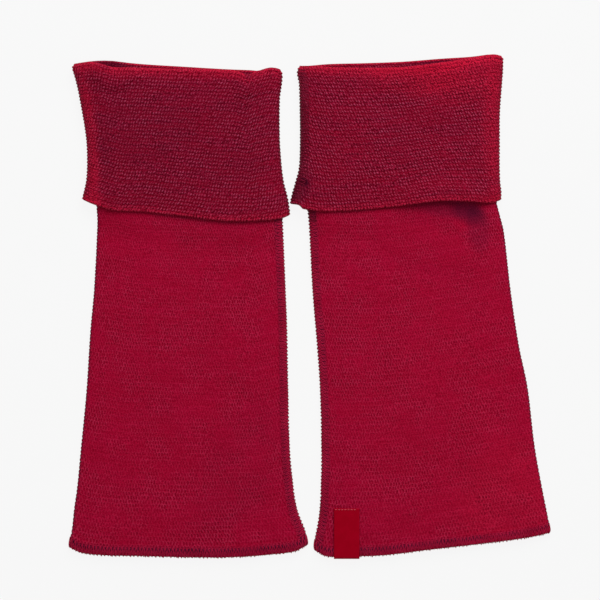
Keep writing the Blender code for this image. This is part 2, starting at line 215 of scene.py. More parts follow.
def patches(u, v, cell, seed):
    """Random patches between -1 and 1, about one cell wide, which close round the tube."""
    around = max(2, round(WALES_ROUND / cell))
    knots = np.random.default_rng(seed).uniform(-1.0, 1.0, (PATCH_ROWS, around))
    right, above = u * around / WALES_ROUND, v / cell
    column, row = np.floor(right).astype(int), np.floor(above).astype(int)

    def beside(row):
        return mix(knots[row % PATCH_ROWS, column % around],
                   knots[row % PATCH_ROWS, (column + 1) % around], ease(right - column))

    return mix(beside(row), beside(row + 1), ease(above - row))


def fold_height(warmer, across, up):
    """Height of the top fold: the back rim shows above the front one, and they meet at the sides."""
    back = line_at(warmer.back_fold, across)
    front = line_at(warmer.front_fold, across)
    return mix(back, front, (1.0 + up) / 2)


def bump(fold, x, height):
    """Weight of a soft fold at a place: full in its middle, fading to nothing at its rim."""
    turn = math.radians(fold.turn)
    right = x - fold.x
    above = height - fold.height
    length = (right * math.cos(turn) + above * math.sin(turn)) / fold.along
    width = (above * math.cos(turn) - right * math.sin(turn)) / fold.across
    return ease((1.0 - np.hypot(length, width)) / SOFT_FOLD_RIM)


# The cloth is never quite even: low swells run through all its front layers
SWELL, SWELL_WIDTH = 0.3, 21.0


def front_rise(warmer, on_leg, x, height):
    """How far a front layer stands above its flat place, from its soft folds and swells."""
    rise = SWELL * patches(x / 2.0, height / 2.0, SWELL_WIDTH / 2.0, len(warmer.folds))
    for fold in warmer.folds:
        lifted = {"both": 1.0, "leg": on_leg, "cuff": ~on_leg}[fold.layer]
        rise = rise + fold.rise * bump(fold, x, height) * lifted
    return rise


def drop_share(warmer, across, height):
    """0 where the leg lies in the cuff, 1 where it has come down to the table below it."""
    below_cuff = line_at(warmer.cuff_edge, across) - height
    return ease((below_cuff - DROP_START) / DROP_LENGTH)


def front_lift(warmer, on_leg, x, height, left, right):
    """How far a front layer stands above its flat place, at a place between its two edges."""
    from_edge = np.minimum(x - left, right - x) + np.where(on_leg, CUFF_OUTER - LEG_OUTER, 0.0)
    across = (x - left) / (right - left)
    top = fold_height(warmer, across, 1.0)
    above_edge = height - line_at(warmer.cuff_edge, across)
    cuff_air = CUFF_AIR * ease((top - height) / FOLD_FADE) * ease(0.3 + above_edge / EDGE_SETTLE)
    lift = TUBE_AIR + front_rise(warmer, on_leg, x, height) + np.where(on_leg, 0.0, cuff_air)
    return lift * ease(from_edge / EDGE_FADE)


print("layers in the cuff end", round(CUFF_OUTER, 2), "mm from its middle plane")

# %% Any point of the cloth
# A ply says how far along the leg or cuff a point is, how deep in the layers, and how far it
# reaches past that part's end. A station says where it is round the tube: the place across, and
# the way out and up at the folded edge.
Ply = namedtuple("Ply", "on_leg along depth reach outer_leg")
Station = namedtuple("Station", "wale across out up")


def station_at(wale):
    """Place round the tube: the front from left to right, the right edge, the back, the left edge."""
    wale = np.asarray(wale, dtype=float) % WALES_ROUND
    right_edge = (wale - FRONT_WALES) / EDGE_WALES
    back = (wale - FRONT_WALES - EDGE_WALES) / FRONT_WALES
    left_edge = (wale - 2 * FRONT_WALES - EDGE_WALES) / EDGE_WALES
    zones = [wale <= FRONT_WALES, right_edge < 1.0, back <= 1.0]
    across = np.select(zones, [wale / FRONT_WALES, 1.0, 1.0 - back], 0.0)
    right_turn = math.pi * (0.5 - right_edge)
    left_turn = math.pi * (left_edge - 0.5)
    out = np.select(zones, [0.0, np.cos(right_turn), 0.0], -np.cos(left_turn))
    up = np.select(zones, [1.0, np.sin(right_turn), -1.0], np.sin(left_turn))
    return Station(wale, across, out, up)


# Overlocked edges are a little thicker than plain cloth, on the front that shows
EDGING_WIDTH, EDGING_SLOPE, EDGING_RISE = 6.5, 2.0, 0.2

# Where the mouth stands open, its back rim stands up from the table
MOUTH_RIM_RISE, MOUTH_RIM_WIDTH = 0.8, 9.0


def mouth_rim(warmer, across, height):
    back = fold_height(warmer, across, -1.0)
    opening = np.maximum(back - fold_height(warmer, across, 1.0), 0.0)
    return MOUTH_RIM_RISE * opening * ease(1.0 - (back - height) / MOUTH_RIM_WIDTH)


def cloth_points(warmer, ply, station):
    """Places of points in the wall, in millimetres in the warmer's own frame."""
    on_leg = ply.on_leg
    outermost = np.where(on_leg, LEG_OUTER, CUFF_OUTER)
    share = np.where(on_leg, ply.along, 1.0 - ply.along)

    def height_at(across):
        hem = line_at(warmer.hem, across)
        cuff_edge = line_at(warmer.cuff_edge, across)
        top = fold_height(warmer, across, station.up) - TURN_OUTER_RADIUS
        return mix(np.where(on_leg, hem, cuff_edge), top, share)

    left = edge_at(warmer, "left", height_at(0.0), on_leg)
    right = edge_at(warmer, "right", height_at(1.0), on_leg)
    inset = outermost - ply.depth
    bulge = EDGE_BULGE + ply.depth
    x = mix(left + inset + bulge, right - inset - bulge, station.across) + bulge * station.out
    across = (x - left) / (right - left)
    height = height_at(across) + ply.reach

    drop = np.where(on_leg, drop_share(warmer, across, height), 0.0)
    above_hem = height - line_at(warmer.hem, across)
    from_seam = np.abs(x - mix(left, right, warmer.seam_side))
    edging = np.maximum(ease((EDGING_WIDTH + EDGING_SLOPE - above_hem) / EDGING_SLOPE),
                        ease((EDGING_WIDTH + EDGING_SLOPE - from_seam) / EDGING_SLOPE))
    lift = front_lift(warmer, on_leg, x, height, left, right)
    lift = lift + np.where(ply.outer_leg, EDGING_RISE * edging * drop, 0.0)
    z = mix(CUFF_OUTER, LEG_OUTER, drop) + ply.depth * station.up
    z = z + lift * np.maximum(station.up, 0.0)
    z = z + mouth_rim(warmer, across, height) * np.maximum(-station.up, 0.0)
    return np.stack(np.broadcast_arrays(x, height, z), axis=-1)


middle = cloth_points(LEFT, Ply(np.array(True), 0.5, LEG_OUTER, 0.0, np.array(True)),
                      station_at(FRONT_WALES / 2))
print("top of the left leg, half way up:", np.round(middle, 1), "mm")

# %% [markdown]
# ## The knit as a mesh
#
# Close to, the cloth is a brick pattern of stitches: small pits on the smooth face of the leg,
# and little bumps on the cuff, where the other face is out. Both are in the mesh. Three rows of
# points go to one course, a row of stitches, and two columns to one wale. The hidden layers get
# fewer. The wall is one closed surface: up the inside of the leg, over the fold, down the cuff,
# round its cut edge and home by the other face. So the cloth is really thick wherever it's seen.

# %% Courses: rows of points from the hem up
HEM_COURSE = 3.2           # height of a course at the hem, where it was stretched most
COURSE_TIGHTENING = 0.00215
LEG_LENGTH = 374.0
CUFF_LENGTH = 108.0
LEG_COURSES = 96           # courses below the cuff and just under it
FOLD_COURSES = 2.5
CUFF_COURSES = 40
POINTS_PER_COURSE = 3
INSIDE_ROWS = 30           # of points up the inside of the leg
HIDDEN_ROWS = 14           # under the cuff, on either layer


def leg_share(course):
    """Share of the leg's length below a course: courses get lower towards the top."""
    return HEM_COURSE * (1.0 - np.exp(-COURSE_TIGHTENING * course)) / COURSE_TIGHTENING / LEG_LENGTH


def leg_course(share):
    return -np.log(1.0 - share * LEG_LENGTH * COURSE_TIGHTENING / HEM_COURSE) / COURSE_TIGHTENING


# A row of points in the wall. lean is the way out of the cloth: in depth, and in reach at a fold.
Row = namedtuple("Row", "on_leg along depth reach outer_leg lean_depth lean_reach course relief back")
rows = []


def add_row(on_leg, along, depth, lean, course, relief, back, reach=0.0, lean_reach=0.0,
            outer_leg=False):
    rows.append(Row(on_leg, along, depth, reach, outer_leg, lean, lean_reach, course, relief, back))


def round_cut_edge(on_leg, along, inner, course):
    for share in (0.8, 0.5, 0.2):
        add_row(on_leg, along, inner + WALL * share, 0.0, course, 0.0, not on_leg and share > 0.4,
                reach=-CUT_EDGE_ROUND * math.sin(math.pi * share))


top_course = leg_course(1.0)
hidden_shares = np.linspace(leg_share(LEG_COURSES), 1.0, HIDDEN_ROWS)[1:]

# Up the inside of the leg
for share in np.linspace(0.0, 1.0, INSIDE_ROWS):
    add_row(True, share, LEG_INNER, -1.0, leg_course(share), 0.0, True)

# Over the fold, as a half round from the leg's side to the cuff's side
TURN_STEPS = 12
for step in range(1, TURN_STEPS):
    angle = math.pi * step / TURN_STEPS
    add_row(False, 0.0, TURN_MIDDLE - TURN_OUTER_RADIUS * math.cos(angle), -math.cos(angle),
            top_course + FOLD_COURSES * step / TURN_STEPS, 1.0, True,
            reach=TURN_OUTER_RADIUS * math.sin(angle), lean_reach=math.sin(angle))

# Down the cuff, round its cut edge and back up behind it
cuff_top_course = top_course + FOLD_COURSES
cuff_steps = CUFF_COURSES * POINTS_PER_COURSE
for step in range(cuff_steps + 1):
    add_row(False, step / cuff_steps, CUFF_OUTER, 1.0,
            cuff_top_course + step / POINTS_PER_COURSE, 1.0, True)
round_cut_edge(False, 1.0, CUFF_INNER, cuff_top_course + CUFF_COURSES)
for share in np.linspace(1.0, 0.0, HIDDEN_ROWS):
    add_row(False, share, CUFF_INNER, -1.0, cuff_top_course + CUFF_COURSES * share, 0.0, False)
for angle in (math.pi * 0.75, math.pi * 0.5, math.pi * 0.25):
    add_row(False, 0.0, TURN_MIDDLE - TURN_INNER_RADIUS * math.cos(angle), 0.0, cuff_top_course,
            0.0, False, reach=TURN_INNER_RADIUS * math.sin(angle))

# Down the outside of the leg, and round the cut edge of the hem
for share in hidden_shares[::-1]:
    add_row(True, share, LEG_OUTER, 1.0, leg_course(share), 0.0, False, outer_leg=True)
for step in range(LEG_COURSES * POINTS_PER_COURSE, -1, -1):
    course = step / POINTS_PER_COURSE
    add_row(True, leg_share(course), LEG_OUTER, 1.0, course, 1.0, False, outer_leg=True)
round_cut_edge(True, 0.0, LEG_INNER, 0.0)
print(len(rows), "rows of points round the wall")

# %% Wales: columns of points round the tube
BACK_SPAN = 3              # the hidden back needs one column for three wales
PURL_FRONT_WALES = 64.5    # the cuff is pulled wider, so its front shows fewer
PURL_EDGE_WALES = 9.5
half_wales = np.arange(0.0, FRONT_WALES + EDGE_WALES, 0.5)
back_wales = np.arange(FRONT_WALES + EDGE_WALES, 2 * FRONT_WALES + EDGE_WALES, BACK_SPAN)
left_edge_wales = np.arange(2 * FRONT_WALES + EDGE_WALES, WALES_ROUND, 0.5)
columns = np.concatenate([half_wales, back_wales, left_edge_wales])
zone_ends = np.cumsum([0.0, FRONT_WALES, EDGE_WALES, FRONT_WALES, EDGE_WALES])
purl_ends = np.cumsum([0.0, PURL_FRONT_WALES, PURL_EDGE_WALES, PURL_FRONT_WALES, PURL_EDGE_WALES])
purl_columns = np.interp(np.append(columns, WALES_ROUND), zone_ends, purl_ends)
print(len(columns), "columns, so", 2 * len(rows) * len(columns), "triangles a warmer")

# %% Relief of the stitches
PIT_DEPTH, BUMP_HEIGHT, UNEVEN_STITCHES = 0.19, 0.13, 0.35
EDGE_KNOB = 0.3            # stitches stand out most where the cloth is pressed round
RELIEF_SEED, FULLNESS_SEED, FURROW_SEED = 11, 5, 9


def stitch_relief(course, wale, reverse, out):
    """How far the yarn stands out of the cloth at a place in the pattern, in millimetres."""
    number = np.round(course).astype(int)
    at_row = np.maximum(np.cos(2 * math.pi * (course - number)), 0.0)
    chances = np.random.default_rng(RELIEF_SEED).uniform(-1.0, 1.0, (256, 2 * WALES_ROUND))
    half = np.round(2 * wale).astype(int) % (2 * WALES_ROUND)
    own = 1.0 + UNEVEN_STITCHES * chances[number % 256, half]
    beside = np.cos(2 * math.pi * (wale - 0.5 * number))
    fullness = 0.75 + 0.25 * patches(wale, course, 7.0, FULLNESS_SEED)
    pits = -PIT_DEPTH * beside * at_row * own * fullness
    bumps = BUMP_HEIGHT * (at_row * (0.55 + 0.45 * own) - 0.5)
    knobs = EDGE_KNOB * np.abs(out) * own * np.cos(2 * math.pi * (course + 0.5 * ~reverse))
    return np.where(reverse, bumps, pits) + knobs


# %% Where the cloth is lighter or darker than its yarn
# 1 is palest, -1 is deep shade, and past that comes the darkest maroon. Most of it is painted
# light: a painted highlight over the top fold and a glint on an open mouth's front rim, and painted
# shade on the folded edges, in the hem and seam furrows, under the threads, along the right cuff's
# seam, inside the tube and in the gap behind the mouth's front rim. The cuff's cut edge rolls up
# and shows paler.
# Painted highlight over the top fold, where the light falls on it
RIM_WIDTH, RIM_HIGHLIGHT = 11.0, 0.75
# Painted highlight: a glint along the front rim of an open mouth
GLINT_WIDTH, GLINT_TONE = 1.3, 0.4         # a light line along the front rim of an open mouth
# Painted shade: a dark line along the top fold where the mouth is shut
OUTLINE_WIDTH, OUTLINE_SHADE = 0.8, 0.6     # a dark one where the mouth is shut
# Painted shade in the furrow along the needle line of the hem and of the seam, and on the cloth under
# the threads
FURROW_PLACE, FURROW_WIDTH = 4.3, 2.9
HEM_FURROW, SEAM_FURROW = 1.25, 0.875
UNDER_THREADS = 0.3
CUFF_ROLL, ROLL_TONE = 5.5, 0.5
SEAM_SHADE, SEAM_TONE = 6.0, 0.4
SEAM_TOP, SEAM_FADE = 368.0, 20.0
# Painted shade along the folded edges of the tube, lighter on the knobs there
LEG_EDGE_SHADE, CUFF_EDGE_SHADE = 1.0, 0.1
LEAST_EDGE_SHADE = 0.35       # on the knobs themselves
# Painted shade on the inside of the tube, where it shows in the mouth
INSIDE_SHADE = 0.7
# Painted shade in the gap behind an open mouth's front rim, deepest about the middle listed for each
# warmer
MOUTH_GAP, GAP_SHADE, LEAST_GAP = 2.6, 0.9, 0.15
OPEN_MOUTH = 2.0           # rims that lie closer than this have no dark gap between them
DEEPEST_MOUTH = {"left_warmer": (0.2, 0.16), "right_warmer": (0.67, 0.22)}     # middle, half width


def band(distance, middle, half_width):
    return ease(1.0 - np.abs(distance - middle) / half_width)


# Painted shade on the leg: the furrows by the needle lines, under the threads, and inside the tube
def leg_tone(above_hem, from_seam, uneven, outer_leg, in_mouth):
    furrow = np.maximum(HEM_FURROW * band(above_hem, FURROW_PLACE, FURROW_WIDTH),
                        SEAM_FURROW * band(from_seam, FURROW_PLACE, FURROW_WIDTH)) * uneven
    below_line = ease(1.0 - (above_hem - EDGING_WIDTH) / 1.5) * ease(above_hem / 2.0)
    shade = np.maximum(furrow, UNDER_THREADS * below_line)
    return -np.where(outer_leg, shade, INSIDE_SHADE * in_mouth)


def cuff_tone(warmer, across, height, from_seam, depth, up, in_mouth):
    front = fold_height(warmer, across, 1.0)
    opening = fold_height(warmer, across, -1.0) - front
    below_fold = fold_height(warmer, across, up) - height
    above_edge = height - line_at(warmer.cuff_edge, across)
    rolled = ROLL_TONE * ease(1.0 - above_edge / CUFF_ROLL)
    # Painted highlight over the top fold, and a painted glint on the front rim of an open mouth
    rim = RIM_HIGHLIGHT * ease(1.0 - below_fold / RIM_WIDTH)
    rim = rim + GLINT_TONE * ease(1.0 - below_fold / GLINT_WIDTH) * ease(opening - 0.5) * (up > 0)
    # Painted shade along the fold of a shut mouth
    outline = OUTLINE_SHADE * ease(1.0 - below_fold / OUTLINE_WIDTH) * ease(1.0 - opening) * (up > 0)
    # Painted shade in the gap behind the front rim, on the back ply that shows there
    in_gap = (ease(1.0 - (height - front) / MOUTH_GAP) * ease((opening - OPEN_MOUTH) / 1.5)
              * in_mouth)
    behind = GAP_SHADE * in_gap * np.maximum(-up, 0.0) * ease((TURN_OUTER_RADIUS - below_fold) / 0.5)
    seam_shade = 0.0
    if warmer.seam_side == 0.0:
        seam_shade = (SEAM_TONE * ease(1.0 - from_seam / SEAM_SHADE)
                      * ease((SEAM_TOP - height) / SEAM_FADE))
    inside = ease((TURN_MIDDLE + 0.8 - depth) / 1.6) * np.maximum(-up, 0.0)
    return rolled + rim - outline - np.maximum(behind, in_gap * inside) - seam_shade


def cloth_tone(warmer, ply_rows, station, points):
    x = points[..., 0] - warmer.place[0]
    height = points[..., 1] - warmer.place[1]
    on_leg = ply_rows.on_leg
    left = edge_at(warmer, "left", height, on_leg)
    right = edge_at(warmer, "right", height, on_leg)
    across = (x - left) / (right - left)
    above_hem = height - line_at(warmer.hem, across)
    from_seam = np.abs(x - mix(left, right, warmer.seam_side))
    uneven = 0.75 + 0.4 * patches(x / 2.0, height / 2.0, 3.5, FURROW_SEED)
    in_mouth = mix(LEAST_GAP, 1.0, band(across, *DEEPEST_MOUTH[warmer.name]))
    tone = np.where(on_leg, leg_tone(above_hem, from_seam, uneven, ply_rows.outer_leg, in_mouth),
                    cuff_tone(warmer, across, height, from_seam, ply_rows.depth, station.up,
                              in_mouth))
    # Soft patches of painted shade and painted highlight, with a little of the yarn's own uneven
    # tone; a "back rim" patch paints shade on the back ply of a mouth
    for tone_patch in warmer.naps:
        shown = ply_rows.outer_leg if tone_patch.layer == "leg" else ~on_leg
        towards = -station.up if tone_patch.layer == "back rim" else station.up
        tone = tone + tone_patch.rise * bump(tone_patch, x, height) * shown * np.maximum(towards, 0.0)
    # Painted shade along the folded edges, lighter on the knobs that stand out there
    between_knobs = 0.5 - 0.5 * np.cos(2 * math.pi * (ply_rows.course + 0.5 * on_leg))
    pressed = ease((np.abs(station.out) - 0.5) / 0.45) * mix(LEAST_EDGE_SHADE, 1.0, between_knobs)
    return tone - np.where(on_leg, LEG_EDGE_SHADE, CUFF_EDGE_SHADE) * pressed


# %% Build the wall of a warmer
def wall_mesh(warmer):
    ply_rows = Row(*[np.array(values)[:, None] for values in zip(*rows)])
    station = station_at(columns[None, :])
    relief = stitch_relief(ply_rows.course, columns[None, :], ply_rows.back, station.out)
    # The underside rests on the table, so there the yarn only goes inward
    relief = relief - np.abs(relief).max() * 0.5 * np.maximum(-station.up, 0.0)
    relief = relief * ply_rows.relief
    ply = Ply(ply_rows.on_leg, ply_rows.along, ply_rows.depth + ply_rows.lean_depth * relief,
              ply_rows.reach + ply_rows.lean_reach * relief, ply_rows.outer_leg)
    points = cloth_points(warmer, ply, station) + (*warmer.place, 0.0)

    shape = bmesh.new()
    bmesh.ops.create_grid(shape, x_segments=len(columns), y_segments=len(rows), size=0.5)
    mesh = bpy.data.meshes.new(warmer.name + "_cloth")
    shape.to_mesh(mesh)
    flat = np.empty(3 * len(mesh.vertices))
    mesh.vertices.foreach_get("co", flat)
    column = np.rint((flat[0::3] + 0.5) * len(columns)).astype(int)
    row = np.rint((flat[1::3] + 0.5) * len(rows)).astype(int)
    here = (row % len(rows), column % len(columns))
    mesh.vertices.foreach_set("co", (points[here] * MM).ravel())

    # The pattern's own coordinates: wales round the tube and courses along it
    corner = np.empty(len(mesh.loops), dtype=np.int32)
    mesh.loops.foreach_get("vertex_index", corner)
    lowest_row = row[corner].reshape(-1, 4).min(axis=1)
    finish = np.where([item.back for item in rows], 1, 0)[lowest_row]
    plain_wale = np.append(columns, WALES_ROUND)[column[corner]]
    wale = np.where(np.repeat(finish, 4) > 0, purl_columns[column[corner]], plain_wale)
    course = np.append([item.course for item in rows], rows[0].course)[row[corner]]
    knit_map = mesh.uv_layers.new(name="knit")
    knit_map.data.foreach_set("uv", np.stack([wale, course], axis=1).astype(np.float32).ravel())
    tone = cloth_tone(warmer, ply_rows, station, points)[here]
    shades = mesh.attributes.new("tone", "FLOAT", "POINT")
    shades.data.foreach_set("value", tone.astype(np.float32))
    mesh.polygons.foreach_set("material_index", finish.astype(np.int32))

    shape.clear()
    shape.from_mesh(mesh)
    bmesh.ops.remove_doubles(shape, verts=shape.verts, dist=0.001 * MM)
    bmesh.ops.recalc_face_normals(shape, faces=shape.faces)
    shape.to_mesh(mesh)
    open_edges = sum(1 for edge in shape.edges if not edge.is_manifold)
    shape.free()
    mesh.shade_smooth()
    print(warmer.name, len(mesh.polygons), "faces,", open_edges, "open edges")
    return mesh


def smooth_mesh(shape, name):
    mesh = bpy.data.meshes.new(name)
    shape.to_mesh(mesh)
    shape.free()
    mesh.shade_smooth()
    return mesh


def add_object(name, data):
    item = bpy.data.objects.new(name, data)
    bpy.context.scene.collection.objects.link(item)
    return item


def add_piece(name, mesh, *finishes):
    for finish in finishes:
        mesh.materials.append(finish)
    return add_object(name, mesh)

# %% [markdown]
# ## Finishes written as sums
#
# Adding nodes one by one hides what a pattern means. So a small class wraps a socket and lets
# Python's own signs add the Math nodes. A second class holds the material and any other node.

# %% A socket that can be reckoned with
def sign(operation, swapped=False):
    """What one of Python's signs does with an amount: it adds one Math node."""
    def reckon(self, other):
        return self.finish.maths(operation, *((other, self) if swapped else (self, other)))
    return reckon


class Amount:
    def __init__(self, finish, socket):
        self.finish = finish
        self.socket = socket

    __add__ = __radd__ = sign("ADD")
    __sub__ = sign("SUBTRACT")
    __rsub__ = sign("SUBTRACT", swapped=True)
    __mul__ = __rmul__ = sign("MULTIPLY")
    __truediv__ = sign("DIVIDE")
    __pow__ = sign("POWER")


# Dyed wool tints its own gloss, so its lights stay red
WOOL_GLOSS = (1.0, 0.08, 0.16, 1.0)


class Finish:
    def __init__(self, name, roughness, sheen=0.0, specular=0.3, gloss_tint=WOOL_GLOSS):
        self.material = bpy.data.materials.new(name)
        self.material.use_nodes = True
        self.tree = self.material.node_tree
        self.shader = self.tree.nodes["Principled BSDF"]
        for socket, value in (("Roughness", roughness), ("Sheen Weight", sheen),
                              ("Specular IOR Level", specular), ("Specular Tint", gloss_tint),
                              ("Sheen Tint", gloss_tint)):
            self.shader.inputs[socket].default_value = value
        self.place = self.node("ShaderNodeTexCoord", output="Object")

    def feed(self, socket, value):
        if isinstance(value, Amount):
            self.tree.links.new(value.socket, socket)
        else:
            socket.default_value = value

    def node(self, kind, settings=(), inputs=(), output=0):
        """Add a node: its settings first, then the values or links of its inputs."""
        node = self.tree.nodes.new(kind)
        for name, value in dict(settings).items():
            setattr(node, name, value)
        for name, value in dict(inputs).items():
            self.feed(node.inputs[name], value)
        return Amount(self, node.outputs[output])

    def maths(self, operation, *values):
        return self.node("ShaderNodeMath", {"operation": operation}, dict(enumerate(values)))

    def blend(self, share, low, high):
        """Mix two colours."""
        return self.node("ShaderNodeMix", {"data_type": "RGBA"},
                         {"Factor": share, "A": low, "B": high}, output="Result")

    def fade(self, value, start, end, low=0.0, high=1.0):
        """Go smoothly from low to high while the value goes from start to end."""
        return self.node("ShaderNodeMapRange", {"interpolation_type": "SMOOTHSTEP"},
                         {"Value": value, "From Min": start, "From Max": end,
                          "To Min": low, "To Max": high})

    def noise(self, scale, detail=2.0, output="Fac", place=None):
        return self.node("ShaderNodeTexNoise", {}, {"Vector": place or self.place, "Scale": scale,
                                                    "Detail": detail}, output)

    def parts(self, vector):
        """The three numbers of a vector."""
        node = self.tree.nodes.new("ShaderNodeSeparateXYZ")
        self.feed(node.inputs[0], vector)
        return [Amount(self, socket) for socket in node.outputs]

    def colour(self, value):
        self.feed(self.shader.inputs["Base Color"], value)

    def emboss(self, height, depth, strength):
        """Let the light fall as if the face stood up by this height, at most this deep."""
        self.feed(self.shader.inputs["Normal"],
                  self.node("ShaderNodeBump", {}, {"Height": height, "Distance": depth * MM,
                                                   "Strength": strength}))


print("finishes are ready to be mixed")

# %% [markdown]
# ## Crimson wool
#
# Both faces of the cloth are the same yarn, but they take the light differently. The smooth face
# has small dark pits, and the purl face on the cuff has short slanting bumps with more shade
# between them. The pattern reads the wales and courses of the mesh, so it turns with the cloth,
# and it wanders a little. The shade in the pits is part of the colour, because a pit is hardly
# wider than a pixel of the photograph.

# %% Finish of the knit
MARK_SHARE = {False: 0.3, True: 0.5}       # share of the cloth that lies in shade
WANDER_SCALE, PATCH_SCALE, FIBRE_SCALE = 170.0, 45.0, 1100.0
WALE_WANDER, COURSE_WANDER, STITCH_SHIFT, STITCH_LIFT = 0.7, 0.6, 0.2, 0.25
# Paler colour for painted highlights and the paler roll, and the darkest maroon for the fullest
# painted shade
LIT_AND_PALE_WOOL = (0.58, 0.01, 0.042, 1)
WARM_WOOL = (0.28, 0.0005, 0.012, 1)
DARKEST_SHADE = (0.05, 0.0003, 0.006, 1)


def knit_finish(name, yarn, shade, crest_highlight, deep, slant, lean, spot, contrast, patchy, hairy,
                raised):
    """spot is the half width and half height of a stitch's mark, in wales and in courses."""
    finish = Finish(name, 0.9, sheen=0.04, specular=0.2)
    knit = finish.node("ShaderNodeUVMap", {"uv_map": "knit"})
    wale, course, _ = finish.parts(knit)
    sway, rise, drift = finish.parts(finish.noise(WANDER_SCALE, output="Color"))
    streaks = finish.node("ShaderNodeVectorMath", {"operation": "MULTIPLY"},
                          {0: knit, 1: (0.09, 0.8, 1.0)})
    streak, warmth, _ = finish.parts(finish.noise(1.0, output="Color", place=streaks))
    wale = wale + (sway - 0.5) * WALE_WANDER
    course = course + (rise - 0.5) * COURSE_WANDER

    number = finish.maths("FLOOR", course + 0.5)
    above = course - number
    shifted = wale - number * slant
    stitch = finish.maths("FLOOR", shifted + 0.5)
    beside = shifted - stitch
    own = finish.node("ShaderNodeCombineXYZ", {}, {"X": stitch, "Y": number})
    chance, lift, shift = finish.parts(
        finish.node("ShaderNodeTexWhiteNoise", {"noise_dimensions": "2D"}, {"Vector": own}, "Color"))
    patch = finish.fade(finish.noise(PATCH_SCALE, 3.0), 0.32, 0.68)
    strength = (0.55 + 0.45 * chance) * (1.0 - patchy + patchy * patch)
    above = above + (lift - 0.5) * STITCH_LIFT
    beside = beside + (shift - 0.5) * STITCH_SHIFT + above * (lean + (drift - 0.5) * 1.0)
    ring = (beside / spot[0]) ** 2 + (above / spot[1]) ** 2
    middle = 1 - finish.fade(ring, 0.2, 1.7)
    between = finish.fade(ring, 0.9, 2.6)
    pits, crests = (between, middle) if raised else (middle, between)

    fibre = finish.fade(finish.noise(FIBRE_SCALE), 0.3, 0.7)
    # The tone attribute carries painted light and shade, with some of the yarn's own uneven tone
    painted_tone = finish.node("ShaderNodeAttribute", {"attribute_name": "tone"}, output="Fac")
    pale = finish.maths("MAXIMUM", painted_tone, 0.0)
    dark = finish.maths("MAXIMUM", 0 - painted_tone, 0.0)
    # Painted highlight: the sheen on the stitch tops, as a paler, pinker colour
    colour = finish.blend(crests * strength * (0.15 + 0.85 * fibre), yarn, crest_highlight)
    colour = finish.blend(pale, colour, LIT_AND_PALE_WOOL)
    share = MARK_SHARE[raised]
    hollow = (share + (pits - share) * strength) * contrast * (1 - pale * 0.3)
    hollow = hollow + (streak - 0.5) * 0.25 + (drift - 0.5) * 0.1 + (0.5 - fibre) * hairy
    colour = finish.blend(finish.maths("MINIMUM", hollow, 1.0), colour, shade)
    colour = finish.blend(finish.fade(warmth, 0.35, 0.65) * 0.25, colour, WARM_WOOL)
    # Painted shade: negative tone blends towards deep, the colour of shade, and past 0.7 towards the
    # darkest maroon
    colour = finish.blend(dark * 0.85, colour, deep)
    finish.colour(finish.blend(finish.fade(dark, 0.7, 1.5), colour, DARKEST_SHADE))
    finish.emboss(fibre * 0.2 + (crests - pits) * strength, 0.3, 0.8)
    return finish.material


FACE = knit_finish("crimson_knit_face", (0.395, 0.0024, 0.032, 1), (0.19, 0.0002, 0.011, 1),
                   (0.46, 0.026, 0.078, 1), (0.04, 0.0055, 0.026, 1), slant=0.5, lean=0.0,
                   spot=(0.24, 0.42), contrast=0.75, patchy=0.62, hairy=0.9, raised=False)
print("finish", FACE.name, "has", len(FACE.node_tree.nodes), "nodes")


# %% Finish of the purl face, whose light strokes lean the other way on the other warmer
STROKE_LEAN = -1.5         # of a stroke within its course, as a share of the rows' slant


def purl_finish(name, slant):
    return knit_finish(name, (0.27, 0.004, 0.029, 1), (0.085, 0.0001, 0.005, 1),
                       (0.43, 0.07, 0.145, 1), (0.035, 0.003, 0.014, 1), slant,
                       slant * STROKE_LEAN, spot=(0.27, 0.34), contrast=0.85, patchy=0.35,
                       hairy=1.3, raised=True)


PURL_LEFT = purl_finish("crimson_purl_left", LEFT.cuff_slant)
PURL_RIGHT = purl_finish("crimson_purl_right", RIGHT.cuff_slant)

# %% Knit both warmers
left_cloth = add_piece("left_warmer_cloth", wall_mesh(LEFT), FACE, PURL_LEFT)
right_cloth = add_piece("right_warmer_cloth", wall_mesh(RIGHT), FACE, PURL_RIGHT)

# %% [markdown]
# ## Overlock stitching
#
# The hem and the side seam are bound by an overlock machine. One thread winds round the edge,
# which leaves a row of small knobs along the outline. A second one crosses it on the front in a
# zigzag, and then lies along the needle line. Each is one long path of points on the cloth, and
# a curve with a round bevel gives it its thickness.

# %% Paths of the overlock threads
STITCH = 2.77              # length of one overlock stitch along the edge
NEEDLE_LINE = 6.0          # distance of the needle line from the edge
THREAD_RADIUS = 0.42
ON_FRONT = 0.12            # how far a thread's middle stands out of the cloth
MIDDLE = WALL / 2
WOBBLE_ALONG, WOBBLE_ACROSS = 0.07, 0.05
SEAM_BEHIND, SEAM_KNOB, SEAM_SINK = 0.6, 0.3, 0.35     # reach behind, knobs and depth at the seam

# Share of a stitch, distance from the edge and depth under the cloth's outer face
WINDING = ((0.0, 1.0, 0.0), (0.15, 0.75, 0.0), (0.3, 0.45, 0.0), (0.42, 0.12, 0.0),
           (0.5, -0.13, 0.4), (0.55, -0.19, MIDDLE), (0.6, -0.13, 1.6), (0.68, 0.12, 1.9),
           (0.8, 0.5, 1.9), (0.92, 0.85, 1.7))
CROSSING = ((0.5, 0.1, 0.0), (0.68, 0.45, 0.0), (0.84, 0.78, 0.0), (0.98, 1.05, 0.0),
            (1.25, 1.06, 0.1), (1.42, 1.04, 0.1), (1.5, 0.9, MIDDLE), (1.5, 0.2, MIDDLE))


